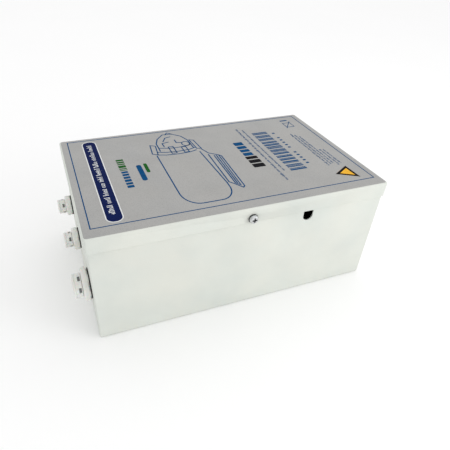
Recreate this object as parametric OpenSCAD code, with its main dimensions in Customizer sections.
// Power and control box of a salt chlorine generator for a pool, lying on its back.
// X runs along the box, with the cable glands at its -X end. Z runs from the back face to the lid.
// The origin is the centre of the wall-mounting holes, on the back face. Millimetres.

/* [Enclosure] */
// Length of the closed box over the lid
box_len = 300; // [298:1:330]
// Width of the closed box over the lid
box_wid = 185; // [184:1:210]
// Height of the closed box, from the back face to the lid's face
box_h = 120; // [114:1:150]
// Depth of the lid's turned-down flange
flange_h = 15.5; // [15.5:0.5:18]
// Thickness of the sheet steel
sheet = 1.2; // [1:0.1:1.4]
// Gap between the lid's flange and the case wall
lid_gap = 0.4; // [0.3:0.1:0.5]
// Outer corner radius of the lid
corner_r = 3; // [3:0.5:5]
// Width of the case's inward rim
rim_w = 10; // [8:1:11]
// Thickness of the foam gasket under the lid
seal_t = 2; // [1.5:0.5:3]
// Painted margin left round the label
label_margin = 1.5; // [1:0.5:6]
// Thickness of the label film
label_t = 0.3; // [0.2:0.1:0.5]

/* [Wall mounting] */
// Spacing of the wall-mounting holes along X
wall_hole_dx = 260; // [256:1:264]
// Spacing of the wall-mounting holes along Y
wall_hole_dy = 140; // [120:1:148]
// Diameter of a wall-mounting hole
wall_hole_d = 6; // [5:0.5:7]

/* [Lid screws] */
// Diameter of the screw's shank
screw_d = 4.9; // [4.5:0.1:4.9]
// Length of the screw under its head
screw_len = 12; // [11:1:14]
// Diameter of the screw's head
screw_head_d = 8.5; // [8:0.5:10]
// Height of the screw's head
screw_head_h = 3; // [2.6:0.1:3.6]
// Distance of the screw's axis below the lid's face
screw_drop = 10.8; // [10:0.2:11]

/* [Side port] */
// Place of the port along X
port_x = 61.5; // [30:0.5:100]
// Width of the port
port_w = 10.5; // [6:0.5:12]
// Distance of the port's lower end below the lid's face
port_drop = 27.5; // [22:0.5:30]
// Height of the port
port_h = 15.5; // [12:0.5:16]

/* [Cable glands] */
// Height of the glands' axes above the back face
gland_z = 52; // [40:1:60]
// Thickness of a gland's outer gasket
gland_gasket_t = 1.2; // [0.8:0.1:1.5]
// Thickness of a gland's hexagon
gland_hex_t = 6; // [5:0.5:7]
// Length of a gland's cap
gland_cap_len = 8.2; // [7.6:0.2:9]
// Length of a gland's threaded shank behind the wall
gland_shank_len = 10; // [8:1:12]
// Thickness of a gland's lock nut
locknut_t = 5; // [4:0.5:6]

/* [Transformer] */
// Outer radius of the toroid
toroid_r = 53; // [45:1:53]
// Height of the toroid
toroid_h = 48; // [36:1:52]
// Radius of the hole through the toroid
toroid_hole_r = 15; // [14:1:18]

/* [Control board] */
// Length of the board along X
board_len = 96; // [92:1:96]
// Width of the board along Y
board_wid = 96; // [92:1:96]
// Height of the stand-offs under the board
standoff_h = 10; // [8:1:14]

/* [Hidden] */
$fn = 48;

// Colours
paint = [0.87, 0.88, 0.85];
label_grey = [0.68, 0.67, 0.65];
nylon = [0.86, 0.86, 0.85];
rubber_black = [0.08, 0.08, 0.09];
foam_grey = [0.25, 0.25, 0.27];
zinc = [0.72, 0.74, 0.76];
brass = [0.80, 0.62, 0.30];
aluminium = [0.78, 0.79, 0.80];
plastic_black = [0.07, 0.07, 0.08];
tape_amber = [0.80, 0.55, 0.20];
board_green = [0.05, 0.35, 0.18];
terminal_green = [0.10, 0.50, 0.25];
relay_blue = [0.10, 0.25, 0.60];

// Case, inside the lid
lid_offset = sheet + lid_gap;
case_len = box_len - 2 * lid_offset;
case_wid = box_wid - 2 * lid_offset;
case_h = box_h - sheet - seal_t;
case_r = corner_r - lid_offset;
fold_r = 0.5;
rest_gap = 0.1;
move_gap = 0.3;
cut = 1;

// Lid screws: sizes along the screw's axis, measured outwards from the flange's face
screw_z = box_h - screw_drop;
washer_t = 0.8;
washer_r = 4.6;
head_seat = move_gap + washer_t + rest_gap;
running_gap = 0.07;
slot_r = screw_d / 2 + 0.35;
nut_depth = 2 * sheet + lid_gap;
nut_side = 9;
nut_t = 4;
recess_len = 5;
recess_w = 1.2;
recess_depth = 1.8;

// Cable glands, from near to far: place along Y, hexagon across flats, and radii of the shank,
// the outer stem, the sealing sleeve, the cable bore, the cap and the cap's mouth
GLANDS = [
    [-68, 29, 11.8, 10.4, 8.6, 6.25, 11.6, 7.6],
    [3, 22, 8.9, 7.0, 5.5, 3.6, 8.1, 4.6],
    [68, 22, 8.9, 7.0, 5.5, 3.6, 8.1, 4.6]
];
NEAR = 0;
MID = 1;
FAR = 2;
function gland_y(g) = GLANDS[g][0];
function gland_hex(g) = GLANDS[g][1];
function shank_r(g) = GLANDS[g][2];
function stem_r(g) = GLANDS[g][3];
function sleeve_r(g) = GLANDS[g][4];
function cable_r(g) = GLANDS[g][5];
function cap_r(g) = GLANDS[g][6];
function mouth_r(g) = GLANDS[g][7];
stem_base = gland_gasket_t + gland_hex_t;
cap_start = stem_base + move_gap;
cap_end = cap_start + gland_cap_len;
lip_t = 1.4;
stem_end = cap_end - lip_t - move_gap;
sleeve_start = 3.5;
sleeve_end = cap_end - lip_t - rest_gap;
sleeve_gap = 0.05;
thread_gap = 0.08;

// Mounting plate
plate_z = 10;
plate_t = 1.5;
plate_top = plate_z + plate_t;
plate_len = 232;
plate_wid = 156;
stud_x = 108;
stud_y = 70;
stud_r = 2;
spacer_af = 8;
stud_top = 17;
plate_nut_af = 7;
plate_nut_t = 3.2;

// Transformer, upwards from the plate
toroid_x = 56;
toroid_y = 22;
pad_t = 3;
toroid_z = plate_top + pad_t;
toroid_round = 9;
winding_t = 7;
core_gap = 0.2;
dish_t = 2;
dish_r = 34;
dish_depth = 4;
dish_floor_r = 11;
clamp_z = toroid_z + toroid_h + pad_t;
bolt_r = 2.9;
bolt_head_af = 10;
bolt_head_h = 4;
toroid_nut_z = clamp_z + dish_t - dish_depth;
toroid_nut_t = 5;

// Heatsink and rectifier
sink_x = 52;
sink_y = -56;
sink_len = 100;
sink_wid = 40;
sink_base = 5;
fin_h = 20;
fin_t = 2;
fin_pitch = 6;
fin_count = 5;
sink_top = plate_top + sink_base;
sink_screw_x = 38;
rectifier_side = 28.6;
rectifier_h = 10;
rectifier_head_r = 3.75;
rectifier_top = sink_top + rectifier_h;
tab_at = 8.5;
tab_w = 6.3;
tab_t = 0.8;
tab_h = 8;
connector_w = 8;
connector_t = 4.4;
connector_h = 12;
connector_z = rectifier_top + 1;
connector_top = connector_z + connector_h;

// Control board
board_x = -58;
board_y = 22;
board_t = 1.6;
board_z = plate_top + standoff_h;
board_top = board_z + board_t;
board_hole_dx = 84;
board_hole_dy = 84;
board_screw_r = 1.45;
board_screw_head_r = 2.8;
board_screw_head_h = 2.2;
standoff_af = 5.5;
relay_size = [30, 22, 24];
relay_places = [[-43, 51], [-43, 23]];
capacitor_r = 10;
capacitor_h = 30;
capacitor_places = [[-75, 54], [-75, 30]];
fuse_x = -19;
fuse_y = 32;
fuse_r = 2.6;
fuse_len = 20;
fuse_z = board_top + 6;
clip_len = 5;
clip_w = 8;
module_size = [34, 20, 16];
module_place = [-39, -10];
chip_size = [18, 10, 2.5];
chip_place = [-76, 2];

// Screw terminals: pitch, depth and height of one way
power_way = [9.5, 12, 16];
power_ways = 4;
power_y = 40;
signal_way = [5.08, 9, 11];
signal_ways = 6;
signal_y = -1;
supply_ways = 2;
supply_x = -84;
terminal_edge_x = board_x - board_len / 2;
wire_entry_r = 0.3;

// Mains terminal strip and earth stud
mains_way = 8.7;
mains_ways = 6;
mains_x = -76;
mains_y = -63;
mains_wid = 18;
mains_h = 10;
mains_tower_r = 3.6;
mains_tower_h = 7;
mains_screw_r = 2;
mains_wire_z = plate_top + 5;
mains_face_y = mains_y + mains_wid / 2;
earth_x = -34;
earth_y = -62;
earth_stud_r = 2.5;
earth_stud_top = 30;
earth_nut_af = 8;
earth_nut_t = 4;
lug_t = 1;
lug_r = 5;
lug_z = plate_top + earth_nut_t + rest_gap;

// Wire radii
mains_wire_r = 1.3;
dc_wire_r = 2;

// Routes of the internal wires, each a list of points from end to end
way_2 = mains_x - 1.5 * mains_way;
way_3 = mains_x - 0.5 * mains_way;
way_4 = mains_x + 0.5 * mains_way;
way_5 = mains_x + 1.5 * mains_way;
way_6 = mains_x + 2.5 * mains_way;
tab_left = sink_x - tab_at;
tab_right = sink_x + tab_at;
tab_near = sink_y - tab_at;
tab_far = sink_y + tab_at;
power_way_1 = power_y - 1.5 * power_way[0];
power_way_2 = power_y - 0.5 * power_way[0];
dc_wire_z = board_top + 7;
primary_routes = [
    [[way_4, mains_face_y, mains_wire_z], [way_4, -46, mains_wire_z], [-64, -36, 16], [-40, -33, 16],
     [-10, -32, 16], [-2, -24, 20], [-2, -10, 30], [6, 0, 34], [12, 4, 34]],
    [[way_5, mains_face_y, mains_wire_z], [way_5, -48, mains_wire_z], [-56, -41, 16], [-40, -38, 16],
     [-6, -37, 16], [3, -28, 20], [4, -16, 28], [10, -8, 32], [16, -4, 32]]
];
secondary_routes = [
    [[40, -26, 44], [40, -33, 46], [42, -42, 50], [tab_left, -46, 48], [tab_left, tab_far, 44],
     [tab_left, tab_far, connector_top]],
    [[72, -26, 44], [72, -33, 46], [70, -42, 50], [tab_right, -46, 48], [tab_right, tab_far, 44],
     [tab_right, tab_far, connector_top]]
];
dc_routes = [
    [[tab_left, tab_near, connector_top], [tab_left, tab_near, 44], [38, tab_near, 50],
     [26, -60, 50], [0, -50, 44], [-40, -46, 42], [-88, -46, 42], [-112, -40, 42], [-121, -22, 42],
     [-121, 4, 38], [-118, 18, 32], [-112, power_way_1, dc_wire_z],
     [terminal_edge_x, power_way_1, dc_wire_z]],
    [[tab_right, tab_near, connector_top], [tab_right, tab_near, 44], [54, tab_near, 52],
     [28, -66, 56], [0, -57, 50], [-40, -52, 48], [-92, -52, 48], [-116, -46, 48], [-127, -24, 48],
     [-127, 4, 44], [-124, 24, 36], [-116, power_way_2, dc_wire_z],
     [terminal_edge_x, power_way_2, dc_wire_z]]
];
supply_routes = [
    [[way_2, mains_face_y, mains_wire_z], [way_2, -47, mains_wire_z], [-89, -40, 20],
     [supply_x - signal_way[0] / 2, -34, 26], [supply_x - signal_way[0] / 2, -30, 27],
     [supply_x - signal_way[0] / 2, board_y - board_wid / 2, 27]],
    [[way_3, mains_face_y, mains_wire_z], [way_3, -47, mains_wire_z], [-81, -40, 20],
     [supply_x + signal_way[0] / 2, -34, 26], [supply_x + signal_way[0] / 2, -30, 27],
     [supply_x + signal_way[0] / 2, board_y - board_wid / 2, 27]]
];
earth_route = [
    [way_6, mains_face_y, mains_wire_z], [way_6, -49, mains_wire_z], [-52, -45, 17], [-42, -43, 18],
    [earth_x, -46, 18], [earth_x, -50, lug_z + 2], [earth_x, -53, lug_z + 2]
];

// ---- Shared shapes ----

// Upright block with round corners, centred on the Z axis
module rounded_block(len, wid, h, r) {
    linear_extrude(h) {
        square([len - 2 * r, wid], center = true);
        square([len, wid - 2 * r], center = true);
        for (x = [-1, 1], y = [-1, 1])
            translate([x * (len / 2 - r), y * (wid / 2 - r)])
                circle(r);
    }
}

// Box centred in X and Y that stands on z = 0
module block(size) {
    translate([-size[0] / 2, -size[1] / 2, 0])
        cube(size);
}

module hexagon(af, h) {
    cylinder(h = h, r = af / sqrt(3), $fn = 6);
}

module tube(h, outer, inner) {
    difference() {
        cylinder(h = h, r = outer);
        translate([0, 0, -cut])
            cylinder(h = h + 2 * cut, r = inner);
    }
}

module hex_nut(af, h, bore) {
    difference() {
        hexagon(af, h);
        translate([0, 0, -cut])
            cylinder(h = h + 2 * cut, r = bore);
    }
}

// Pan head with its flat seat at z = 0 and a cross recess in its crown
module pan_head(r, h, recess = true) {
    round_r = h * 0.45;
    difference() {
        rotate_extrude() {
            square([r - round_r, h]);
            square([r, h - round_r]);
            translate([r - round_r, h - round_r])
                circle(round_r);
        }
        if (recess)
            for (turn = [0, 90])
                rotate([0, 0, turn])
                    translate([-recess_len / 2, -recess_w / 2, h - recess_depth])
                        cube([recess_len, recess_w, recess_depth + cut]);
    }
}

// Z points out of the gland end, from the wall's outer face
module at_gland(g) {
    translate([-case_len / 2, gland_y(g), gland_z])
        rotate([0, -90, 0])
            children();
}

// Z points out of the lid's flange, from its face: side is -1 near and 1 far
module at_lid_screw(side) {
    translate([0, side * box_wid / 2, screw_z])
        rotate([-90 * side, 0, 0])
            children();
}

module at_corners(dx, dy) {
    for (x = [-dx, dx], y = [-dy, dy])
        translate([x, y, 0])
            children();
}

// ---- Swept wires ----

function unit(v) = v / norm(v);

// Point at t on the smooth curve between p[i] and p[i + 1]
function curve_point(p, i, t) =
    let (
        a = p[max(i - 1, 0)],
        b = p[i],
        c = p[i + 1],
        d = p[min(i + 2, len(p) - 1)]
    )
    0.5 * (2 * b + (c - a) * t + (2 * a - 5 * b + 4 * c - d) * t ^ 2 + (3 * b - a - 3 * c + d) * t ^ 3);

function curve(p, steps) = [
    for (i = [0:len(p) - 2], k = [0:steps - 1]) curve_point(p, i, k / steps),
    p[len(p) - 1]
];

// Direction of the curve q through the points p, along p's own first and last legs at the ends
function heading(p, q, i) =
    i == 0 ? unit(p[1] - p[0]) :
    i == len(q) - 1 ? unit(p[len(p) - 1] - p[len(p) - 2]) :
    unit(q[i + 1] - q[i - 1]);

// A sideways direction at each point of q, turned as little as possible from one to the next
function sideways(p, q, i = 0, last = [0.3, 0.4, 0.87]) =
    i == len(q) ? [] :
    let (
        t = heading(p, q, i),
        s = unit(last - (last * t) * t)
    )
    concat([s], sideways(p, q, i + 1, s));

module wire(p, r, steps = 2) {
    sides = 8;
    q = curve(p, steps);
    s = sideways(p, q);
    n = len(q);
    points = [
        for (i = [0:n - 1], k = [0:sides - 1])
            let (a = 360 * k / sides)
            q[i] + r * (cos(a) * s[i] + sin(a) * cross(heading(p, q, i), s[i]))
    ];
    walls = [
        for (i = [0:n - 2], k = [0:sides - 1])
            let (next = (k + 1) % sides)
            [i * sides + k, (i + 1) * sides + k, (i + 1) * sides + next, i * sides + next]
    ];
    ends = [
        [for (k = [0:sides - 1]) k],
        [for (k = [sides - 1:-1:0]) (n - 1) * sides + k]
    ];
    polyhedron(points, concat(walls, ends));
}

module wires(routes, r, colours) {
    for (i = [0:len(routes) - 1])
        color(colours[i])
            wire(routes[i], r);
}

// ---- Enclosure ----

module side_port() {
    low = box_h - port_drop + port_w / 2;
    high = low + port_h - port_w;
    translate([port_x, -case_wid / 2 + sheet + cut, 0])
        rotate([90, 0, 0]) {
            translate([0, low, 0])
                cylinder(h = sheet + 2 * cut, r = port_w / 2);
            translate([0, high, 0])
                cylinder(h = sheet + 2 * cut, r = port_w / 2);
            translate([-port_w / 2, low, 0])
                cube([port_w, high - low, sheet + 2 * cut]);
        }
}

module case() {
    color(paint)
        difference() {
            rounded_block(case_len, case_wid, case_h, case_r);
            translate([0, 0, sheet])
                rounded_block(case_len - 2 * sheet, case_wid - 2 * sheet, case_h - 2 * sheet, fold_r);
            translate([0, 0, sheet])
                rounded_block(case_len - 2 * rim_w, case_wid - 2 * rim_w, case_h, corner_r);
            for (g = [NEAR, MID, FAR])
                at_gland(g)
                    translate([0, 0, -sheet - cut])
                        cylinder(h = sheet + 2 * cut, r = shank_r(g) + move_gap);
            for (side = [-1, 1])
                at_lid_screw(side)
                    translate([0, 0, -nut_depth - cut])
                        cylinder(h = nut_depth + 2 * cut, r = slot_r);
            at_corners(wall_hole_dx / 2, wall_hole_dy / 2)
                translate([0, 0, -cut])
                    cylinder(h = sheet + 2 * cut, r = wall_hole_d / 2);
            side_port();
        }
}

module lid() {
    color(paint)
        difference() {
            translate([0, 0, box_h - flange_h])
                rounded_block(box_len, box_wid, flange_h, corner_r);
            translate([0, 0, box_h - flange_h - cut])
                rounded_block(box_len - 2 * sheet, box_wid - 2 * sheet, flange_h - sheet + cut,
                    corner_r - sheet);
            for (side = [-1, 1])
                at_lid_screw(side) {
                    translate([0, 0, -sheet - cut])
                        cylinder(h = sheet + 2 * cut, r = slot_r);
                    translate([-slot_r, side * (flange_h / 2) - flange_h / 2, -sheet - cut])
                        cube([2 * slot_r, flange_h, sheet + 2 * cut]);
                }
        }
}

module lid_label() {
    color(label_grey)
        translate([0, 0, box_h])
            rounded_block(box_len - 2 * label_margin, box_wid - 2 * label_margin, label_t, corner_r);
}

module lid_gasket() {
    inset = lid_gap + 0.5;
    color(foam_grey)
        translate([0, 0, case_h + rest_gap])
            difference() {
                rounded_block(case_len - 2 * inset, case_wid - 2 * inset, seal_t - rest_gap, fold_r);
                translate([0, 0, -cut])
                    rounded_block(case_len - 2 * rim_w, case_wid - 2 * rim_w, seal_t + 2 * cut, corner_r);
            }
}

module lid_nuts() {
    color(zinc)
        for (side = [-1, 1])
            at_lid_screw(side)
                translate([0, 0, -nut_depth - nut_t])
                    difference() {
                        block([nut_side, nut_side, nut_t]);
                        translate([0, 0, -cut])
                            cylinder(h = nut_t + 2 * cut, r = screw_d / 2 + running_gap);
                    }
}

module lid_screw(side) {
    color(zinc)
        at_lid_screw(side)
            translate([0, 0, head_seat]) {
                pan_head(screw_head_d / 2, screw_head_h);
                translate([0, 0, -screw_len])
                    cylinder(h = screw_len, r = screw_d / 2);
            }
}

module lid_washer(side) {
    color(rubber_black)
        at_lid_screw(side)
            translate([0, 0, move_gap])
                tube(washer_t, washer_r, screw_d / 2 + running_gap);
}

// ---- Cable glands ----

module gland_body(g) {
    color(nylon)
        at_gland(g)
            difference() {
                union() {
                    translate([0, 0, gland_gasket_t])
                        hexagon(gland_hex(g), gland_hex_t);
                    translate([0, 0, -sheet - gland_shank_len])
                        cylinder(h = sheet + gland_shank_len + stem_base - 1, r = shank_r(g));
                    cylinder(h = stem_end, r = stem_r(g));
                }
                translate([0, 0, -sheet - gland_shank_len - cut])
                    cylinder(h = gland_shank_len + stem_end + 2 * cut, r = cable_r(g) + 0.8);
                translate([0, 0, sleeve_start - move_gap])
                    cylinder(h = stem_end, r = sleeve_r(g) + sleeve_gap);
            }
}

module gland_cap(g) {
    color(nylon)
        at_gland(g)
            difference() {
                translate([0, 0, cap_start])
                    cylinder(h = gland_cap_len, r = cap_r(g));
                translate([0, 0, cap_start - cut])
                    cylinder(h = gland_cap_len - lip_t + cut, r = stem_r(g) + thread_gap);
                translate([0, 0, cap_start])
                    cylinder(h = gland_cap_len + cut, r = mouth_r(g));
            }
}

module gland_seal(g) {
    color(rubber_black)
        at_gland(g)
            translate([0, 0, sleeve_start])
                tube(sleeve_end - sleeve_start, sleeve_r(g), cable_r(g));
}

module gland_gaskets() {
    color(rubber_black)
        for (g = [NEAR, MID, FAR])
            at_gland(g)
                tube(gland_gasket_t, gland_hex(g) * 0.52, shank_r(g) + rest_gap);
}

module gland_locknuts() {
    color(nylon)
        for (g = [NEAR, MID, FAR])
            at_gland(g)
                translate([0, 0, -sheet - locknut_t])
                    hex_nut(gland_hex(g) + 2, locknut_t, shank_r(g) + rest_gap);
}

// ---- Mounting plate ----

module mounting_plate() {
    hole_r = stud_r + move_gap;
    color(zinc)
        translate([0, 0, plate_z])
            difference() {
                rounded_block(plate_len, plate_wid, plate_t, corner_r);
                translate([0, 0, -cut]) {
                    at_corners(stud_x, stud_y)
                        cylinder(h = plate_t + 2 * cut, r = hole_r);
                    translate([toroid_x, toroid_y, 0])
                        cylinder(h = plate_t + 2 * cut, r = bolt_r + move_gap);
                    translate([board_x, board_y, 0])
                        at_corners(board_hole_dx / 2, board_hole_dy / 2)
                            cylinder(h = plate_t + 2 * cut, r = board_screw_r + rest_gap);
                    for (x = [-sink_screw_x, sink_screw_x])
                        translate([sink_x + x, sink_y, 0])
                            cylinder(h = plate_t + 2 * cut, r = hole_r);
                    translate([earth_x, earth_y, 0])
                        cylinder(h = plate_t + 2 * cut, r = earth_stud_r + rest_gap);
                }
            }
}

module plate_studs() {
    color(zinc)
        at_corners(stud_x, stud_y) {
            translate([0, 0, sheet])
                hexagon(spacer_af, plate_z - sheet);
            translate([0, 0, sheet])
                cylinder(h = stud_top - sheet, r = stud_r);
        }
}

module plate_nuts() {
    color(zinc)
        at_corners(stud_x, stud_y)
            translate([0, 0, plate_top])
                hex_nut(plate_nut_af, plate_nut_t, stud_r + rest_gap);
}

// ---- Transformer ----

module at_toroid() {
    translate([toroid_x, toroid_y, 0])
        children();
}

module transformer_winding() {
    inner = toroid_hole_r;
    r = toroid_round;
    color(tape_amber)
        at_toroid()
            translate([0, 0, toroid_z])
                rotate_extrude($fn = 96)
                    difference() {
                        union() {
                            translate([inner + r, 0])
                                square([toroid_r - inner - 2 * r, toroid_h]);
                            translate([inner, r])
                                square([toroid_r - inner, toroid_h - 2 * r]);
                            for (x = [inner + r, toroid_r - r], z = [r, toroid_h - r])
                                translate([x, z])
                                    circle(r);
                        }
                        translate([inner + winding_t, winding_t])
                            square([toroid_r - inner - 2 * winding_t, toroid_h - 2 * winding_t]);
                    }
}

module transformer_core() {
    inset = winding_t + core_gap;
    color(zinc)
        at_toroid()
            translate([0, 0, toroid_z + inset])
                tube(toroid_h - 2 * inset, toroid_r - inset, toroid_hole_r + inset, $fn = 96);
}

module transformer_pad_lower() {
    color(rubber_black)
        at_toroid()
            translate([0, 0, plate_top])
                tube(pad_t, toroid_r - 5, toroid_hole_r);
}

module transformer_pad_upper() {
    color(rubber_black)
        at_toroid()
            translate([0, 0, toroid_z + toroid_h])
                tube(pad_t, dish_r + 4, toroid_hole_r);
}

module transformer_clamp() {
    r = dish_floor_r;
    slope = 3;
    color(zinc)
        at_toroid()
            translate([0, 0, clamp_z])
                rotate_extrude($fn = 64)
                    polygon([
                        [bolt_r + move_gap, -dish_depth], [r, -dish_depth], [r + slope, 0],
                        [dish_r, 0], [dish_r, dish_t], [r + slope - 1, dish_t],
                        [r - 1, dish_t - dish_depth], [bolt_r + move_gap, dish_t - dish_depth]
                    ]);
}

module transformer_bolt() {
    top = toroid_nut_z + toroid_nut_t + 3;
    color(zinc)
        at_toroid() {
            translate([0, 0, plate_z - bolt_head_h])
                hexagon(bolt_head_af, bolt_head_h);
            translate([0, 0, plate_z - cut])
                cylinder(h = top - plate_z + cut, r = bolt_r);
        }
}

module transformer_nut() {
    color(zinc)
        at_toroid()
            translate([0, 0, toroid_nut_z])
                hex_nut(bolt_head_af, toroid_nut_t, bolt_r + rest_gap);
}

// ---- Rectifier ----

module heatsink() {
    color(aluminium)
        translate([sink_x, sink_y, plate_top])
            difference() {
                union() {
                    block([sink_len, sink_wid, sink_base]);
                    for (side = [-1, 1], i = [0:fin_count - 1])
                        translate([side * (sink_len / 2 - fin_t / 2 - i * fin_pitch), 0, 0])
                            block([fin_t, sink_wid, sink_base + fin_h]);
                }
                translate([0, 0, -cut])
                    cylinder(h = sink_base + 2 * cut, r = screw_d / 2 + rest_gap);
                for (x = [-sink_screw_x, sink_screw_x])
                    translate([x, 0, -cut])
                        cylinder(h = sink_base, r = stud_r + rest_gap);
            }
}

module heatsink_screws() {
    head_h = 2;
    color(zinc)
        for (x = [-sink_screw_x, sink_screw_x])
            translate([sink_x + x, sink_y, plate_z]) {
                translate([0, 0, -head_h])
                    cylinder(h = head_h, r = 2 * stud_r);
                translate([0, 0, -head_h])
                    cylinder(h = head_h + plate_t + sink_base - 2, r = stud_r);
            }
}

module rectifier() {
    difference() {
        union() {
            color(plastic_black)
                translate([sink_x, sink_y, sink_top])
                    block([rectifier_side, rectifier_side, rectifier_h]);
            color(zinc)
                for (x = [tab_left, tab_right], y = [tab_near, tab_far])
                    translate([x, y, rectifier_top - cut])
                        block([tab_w, tab_t, tab_h + cut]);
        }
        translate([sink_x, sink_y, sink_top - cut])
            cylinder(h = rectifier_h + 2 * cut, r = screw_d / 2 + rest_gap);
    }
}

module rectifier_screw() {
    color(zinc)
        translate([sink_x, sink_y, rectifier_top]) {
            pan_head(rectifier_head_r, screw_head_h);
            translate([0, 0, -rectifier_h - sink_base + 1])
                cylinder(h = rectifier_h + sink_base, r = screw_d / 2);
        }
}

module tab_connectors() {
    color(plastic_black)
        for (x = [tab_left, tab_right], y = [tab_near, tab_far])
            translate([x, y, connector_z])
                difference() {
                    block([connector_w, connector_t, connector_h]);
                    translate([0, 0, -cut])
                        block([tab_w + 0.4, tab_t + 0.4, tab_h + cut]);
                }
}

// ---- Control board ----

module at_board_holes() {
    translate([board_x, board_y, 0])
        at_corners(board_hole_dx / 2, board_hole_dy / 2)
            children();
}

module control_board() {
    color(board_green)
        difference() {
            translate([board_x, board_y, board_z])
                rounded_block(board_len, board_wid, board_t, 1);
            at_board_holes()
                translate([0, 0, board_z - cut])
                    cylinder(h = board_t + 2 * cut, r = board_screw_r + rest_gap);
        }
}

module board_standoffs() {
    color(brass)
        at_board_holes()
            difference() {
                union() {
                    translate([0, 0, plate_top])
                        hexagon(standoff_af, standoff_h);
                    translate([0, 0, plate_z])
                        cylinder(h = plate_t + cut, r = board_screw_r);
                }
                translate([0, 0, board_z - 6])
                    cylinder(h = 6 + cut, r = board_screw_r + rest_gap);
            }
}

module board_screws() {
    color(zinc)
        at_board_holes()
            translate([0, 0, board_top]) {
                pan_head(board_screw_head_r, board_screw_head_h, false);
                translate([0, 0, -board_t - 4])
                    cylinder(h = board_t + 4 + 1, r = board_screw_r);
            }
}

module on_board(place) {
    translate([place[0], place[1], board_top])
        children();
}

module relays() {
    color(relay_blue)
        for (place = relay_places)
            on_board(place)
                block(relay_size);
}

module capacitors() {
    groove_z = 3;
    color(plastic_black)
        for (place = capacitor_places)
            on_board(place)
                rotate_extrude()
                    polygon([
                        [0, 0], [capacitor_r, 0], [capacitor_r, groove_z], [capacitor_r - 0.6, groove_z + 1],
                        [capacitor_r, groove_z + 2], [capacitor_r, capacitor_h - 1],
                        [capacitor_r - 1, capacitor_h], [0, capacitor_h]
                    ]);
}

module along_fuse() {
    translate([fuse_x, fuse_y - fuse_len / 2, fuse_z])
        rotate([-90, 0, 0])
            children();
}

module fuse_clips() {
    color(zinc)
        for (end = [-1, 1])
            difference() {
                translate([fuse_x, fuse_y + end * (fuse_len - clip_len) / 2, board_top])
                    block([clip_w, clip_len, fuse_z - board_top + 1]);
                translate([0, -cut, 0])
                    along_fuse()
                        cylinder(h = fuse_len + 2 * cut, r = fuse_r + rest_gap);
            }
}

module fuse() {
    color("white")
        along_fuse()
            cylinder(h = fuse_len, r = fuse_r);
}

module supply_module() {
    color(plastic_black)
        on_board(module_place)
            block(module_size);
}

module control_chip() {
    color(plastic_black)
        on_board(chip_place)
            block(chip_size);
}

// Row of screw terminals, with its wire face towards -X and its screws on top
module terminal_row(way, ways) {
    length = way[0] * ways;
    difference() {
        translate([0, -length / 2, 0])
            cube([way[1], length, way[2]]);
        for (i = [0:ways - 1])
            translate([way[1] / 2, (i + 0.5) * way[0] - length / 2, way[2] - 2])
                cylinder(h = 2 + cut, r = way[0] * wire_entry_r);
    }
}

module power_terminals() {
    color(terminal_green)
        translate([terminal_edge_x, power_y, board_top])
            terminal_row(power_way, power_ways);
}

module signal_terminals() {
    color(terminal_green) {
        translate([terminal_edge_x, signal_y, board_top])
            terminal_row(signal_way, signal_ways);
        translate([supply_x, board_y - board_wid / 2, board_top])
            rotate([0, 0, 90])
                terminal_row(signal_way, supply_ways);
    }
}

// ---- Mains terminals and earth ----

module at_mains_screws() {
    for (i = [0:mains_ways - 1], side = [-1, 1])
        translate([
            mains_x + (i - (mains_ways - 1) / 2) * mains_way,
            mains_y + side * (mains_wid / 2 - mains_tower_r),
            plate_top + mains_h
        ])
            children();
}

module mains_terminals() {
    color(nylon)
        difference() {
            union() {
                translate([mains_x, mains_y, plate_top])
                    block([mains_way * mains_ways, mains_wid, mains_h]);
                at_mains_screws()
                    translate([0, 0, -cut])
                        cylinder(h = mains_tower_h + cut, r = mains_tower_r);
            }
            at_mains_screws()
                cylinder(h = mains_tower_h + cut, r = mains_screw_r + 0.2);
        }
}

module mains_terminal_screws() {
    color(zinc)
        at_mains_screws()
            difference() {
                cylinder(h = 3, r = mains_screw_r);
                translate([-mains_screw_r - cut, -0.3, 2])
                    cube([2 * mains_screw_r + 2 * cut, 0.6, 1 + cut]);
            }
}

module earth_stud() {
    color(brass)
        translate([earth_x, earth_y, 0]) {
            translate([0, 0, plate_z - 3])
                hexagon(earth_nut_af, 3);
            translate([0, 0, plate_z - cut])
                cylinder(h = earth_stud_top - plate_z + cut, r = earth_stud_r);
        }
}

module earth_nuts() {
    color(brass)
        for (z = [plate_top, lug_z + lug_t + rest_gap])
            translate([earth_x, earth_y, z])
                hex_nut(earth_nut_af, earth_nut_t, earth_stud_r + rest_gap);
}

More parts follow.
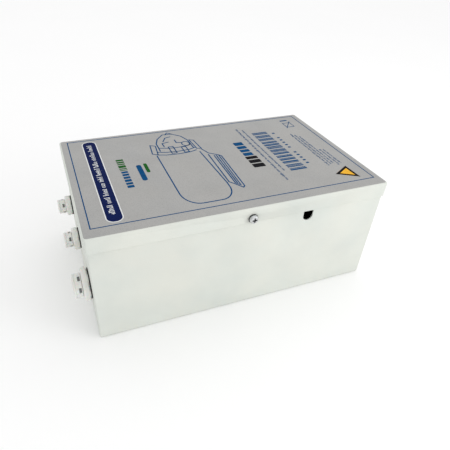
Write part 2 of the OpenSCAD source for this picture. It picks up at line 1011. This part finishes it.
module earth_lug() {
    barrel_r = 2;
    color(zinc)
        translate([earth_x, earth_y, lug_z]) {
            difference() {
                union() {
                    cylinder(h = lug_t, r = lug_r);
                    translate([-barrel_r, 0, 0])
                        cube([2 * barrel_r, 6, lug_t]);
                }
                translate([0, 0, -cut])
                    cylinder(h = lug_t + 2 * cut, r = earth_stud_r + rest_gap);
            }
            translate([0, 5.5, 2])
                rotate([-90, 0, 0])
                    cylinder(h = 3.5, r = barrel_r);
        }
}

// ---- Internal wires ----

module primary_wires() {
    wires(primary_routes, mains_wire_r, ["saddlebrown", "royalblue"]);
}

module secondary_wires() {
    wires(secondary_routes, dc_wire_r, ["gold", "gold"]);
}

module dc_wires() {
    wires(dc_routes, dc_wire_r, ["red", "black"]);
}

module board_supply_wires() {
    wires(supply_routes, mains_wire_r, ["saddlebrown", "royalblue"]);
}

module earth_wire() {
    color("yellowgreen")
        wire(earth_route, mains_wire_r);
}

case();
lid();
lid_label();
lid_gasket();
lid_nuts();
lid_screw(-1);  // lid_screw_near
lid_screw(1);  // lid_screw_far
lid_washer(-1);  // lid_washer_near
lid_washer(1);  // lid_washer_far
gland_body(NEAR);  // gland_body_near
gland_body(MID);  // gland_body_mid
gland_body(FAR);  // gland_body_far
gland_cap(NEAR);  // gland_cap_near
gland_cap(MID);  // gland_cap_mid
gland_cap(FAR);  // gland_cap_far
gland_seal(NEAR);  // gland_seal_near
gland_seal(MID);  // gland_seal_mid
gland_seal(FAR);  // gland_seal_far
gland_gaskets();
gland_locknuts();
mounting_plate();
plate_studs();
plate_nuts();
transformer_core();
transformer_winding();
transformer_pad_lower();
transformer_pad_upper();
transformer_clamp();
transformer_bolt();
transformer_nut();
heatsink();
heatsink_screws();
rectifier();
rectifier_screw();
tab_connectors();
control_board();
board_standoffs();
board_screws();
relays();
capacitors();
fuse_clips();
fuse();
supply_module();
control_chip();
power_terminals();
signal_terminals();
mains_terminals();
mains_terminal_screws();
earth_stud();
earth_nuts();
earth_lug();
primary_wires();
secondary_wires();
dc_wires();
board_supply_wires();
earth_wire();
